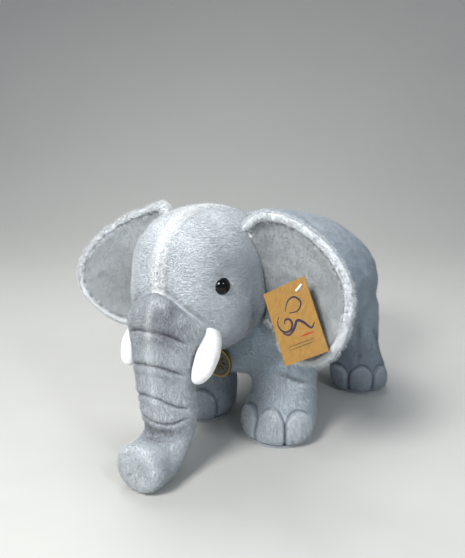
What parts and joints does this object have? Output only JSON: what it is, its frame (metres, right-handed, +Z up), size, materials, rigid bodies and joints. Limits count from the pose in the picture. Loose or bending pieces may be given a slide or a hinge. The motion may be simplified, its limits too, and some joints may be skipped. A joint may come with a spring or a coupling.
{
  "type": "plush elephant",
  "caption": "Standing stuffed elephant with wide cupped ears, a curled trunk that rests on the table, short tusks, a swing tag and a small medallion.",
  "frame": {"origin": "on the floor under the middle of the whole toy's bounding box", "axes": "+Z up, the elephant faces -Y, and its own left side is +X"},
  "size_m": [0.2854, 0.377, 0.222],
  "materials": {
    "head_plush": "short brushed plush pile, pale blue-grey",
    "white_plush": "longer brushed plush pile, near white",
    "tusk_plush": "very short smooth plush, white",
    "ear_velvet": "short velvety pile, mid grey",
    "ear_back_plush": "long fluffy pile, pale grey",
    "body_plush": "short brushed plush pile, blue-grey",
    "toe_plush": "short smooth plush, blue-grey",
    "sole_velvet": "short velvety pile, grey",
    "fibrefill": "loose polyester fibre filling, white",
    "tuft_plush": "long pile, grey",
    "eye_plastic": "glossy black",
    "washer_plastic": "matte, natural white",
    "tag_card": null,
    "tag_plastic": "semi-gloss white",
    "medallion_enamel": "dark enamel, satin",
    "gilt": "polished gilt",
    "thread": "twisted thread",
    "label_ribbon": "blank woven satin ribbon"
  },
  "bodies": {
    "root": {"head_skin_left": "head_plush", "head_skin_right": "head_plush", "forehead_gusset": "white_plush", "chin_panel": "head_plush", "head_stuffing": "fibrefill", "trunk_skin": "head_plush", "trunk_stuffing": "fibrefill", "tusk_left": "tusk_plush", "tusk_right": "tusk_plush", "eye_left": "eye_plastic", "eye_right": "eye_plastic", "eye_washer_left": "washer_plastic", "eye_washer_right": "washer_plastic", "body_skin_left": "body_plush", "body_skin_right": "body_plush", "belly_panel": "body_plush", "body_stuffing": "fibrefill", "leg_skin_front_left": "body_plush", "leg_skin_front_right": "body_plush", "leg_skin_rear_left": "body_plush", "leg_skin_rear_right": "body_plush", "leg_stuffing_front_left": "fibrefill", "leg_stuffing_front_right": "fibrefill", "leg_stuffing_rear_left": "fibrefill", "leg_stuffing_rear_right": "fibrefill", "sole_front_left": "sole_velvet", "sole_front_right": "sole_velvet", "sole_rear_left": "sole_velvet", "sole_rear_right": "sole_velvet", "toe_cap_front_left": "toe_plush", "toe_cap_front_right": "toe_plush", "toe_cap_rear_left": "toe_plush", "toe_cap_rear_right": "toe_plush", "throat_thread": "thread", "care_label": "label_ribbon"},
    "trunk_tip": {"trunk_tip_skin": "head_plush", "trunk_tip_stuffing": "fibrefill", "trunk_tip_disc": "head_plush"},
    "ear_left": {"ear_left_front": "ear_velvet", "ear_left_wadding": "fibrefill", "ear_left_back": "ear_back_plush", "tag_fastener": "tag_plastic"},
    "ear_right": {"ear_right_front": "ear_velvet", "ear_right_wadding": "fibrefill", "ear_right_back": "ear_back_plush"},
    "tag": {"hang_tag": "tag_card"},
    "medallion": {"medallion_disc": "medallion_enamel", "medallion_rim": "gilt", "medallion_hanger": "gilt"},
    "tail": {"tail_cord": "body_plush"},
    "tuft": {"tail_tuft": "tuft_plush"}
  },
  "joints": [
    {"name": "trunk_bend", "type": "hinge", "parent": "root", "child": "trunk_tip", "pos_m": [0, -0.142, 0.06], "axis": [-1, 0, 0], "range_deg": [0, 30], "stiffness_Nm_per_rad": 0.25},
    {"name": "ear_left_flap", "type": "hinge", "parent": "root", "child": "ear_left", "pos_m": [0.051, -0.072, 0.16], "axis": [0, 0.2501, -0.9682], "range_deg": [-10, 25], "stiffness_Nm_per_rad": 0.08},
    {"name": "ear_right_flap", "type": "hinge", "parent": "root", "child": "ear_right", "pos_m": [-0.051, -0.072, 0.16], "axis": [0, -0.2501, 0.9682], "range_deg": [-10, 25], "stiffness_Nm_per_rad": 0.08},
    {"name": "tag_swing", "type": "hinge", "parent": "ear_left", "child": "tag", "pos_m": [0.09796, -0.09839, 0.16808], "axis": [-0.1022, -0.9728, 0.2079], "range_deg": [-20, 20]},
    {"name": "medallion_swing", "type": "hinge", "parent": "root", "child": "medallion", "pos_m": [0.004, -0.0729, 0.0946], "axis": [0, -1, 0], "range_deg": [-20, 20]},
    {"name": "tail_lift", "type": "hinge", "parent": "root", "child": "tail", "pos_m": [0, 0.178, 0.15], "axis": [1, 0, 0], "range_deg": [0, 80]},
    {"name": "tuft_swing", "type": "hinge", "parent": "tail", "child": "tuft", "pos_m": [0, 0.18034, 0.08644], "axis": [0, 1, 0], "range_deg": [-20, 20]}
  ]
}
